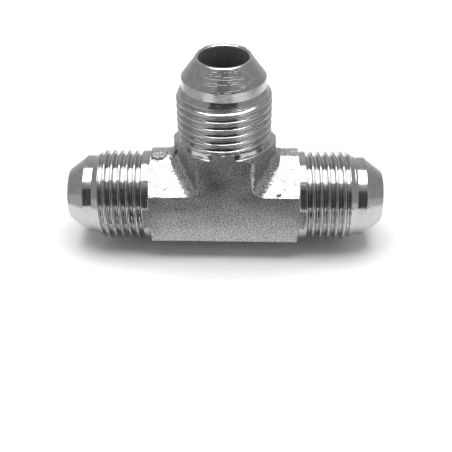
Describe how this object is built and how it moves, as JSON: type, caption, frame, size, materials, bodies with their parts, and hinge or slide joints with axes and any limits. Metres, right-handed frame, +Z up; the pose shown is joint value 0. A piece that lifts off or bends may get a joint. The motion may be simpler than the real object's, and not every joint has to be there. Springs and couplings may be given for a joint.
{
  "type": "flared tube tee fitting",
  "caption": "Forged steel tee fitting with male threaded ends and 37 degree flare cones, joining three hydraulic tubes through crossing passages.",
  "frame": {"origin": "where the axis of the run crosses the axis of the branch", "axes": "+X along the run, +Z up along the branch, +Y out of one of the two flat sides"},
  "size_m": [0.0664, 0.019, 0.0428],
  "materials": {
    "plated_steel": "zinc-plated: bright turned ends, shot-blasted forged middle"
  },
  "bodies": {
    "root": {"tee_body": "plated_steel"}
  },
  "joints": []
}
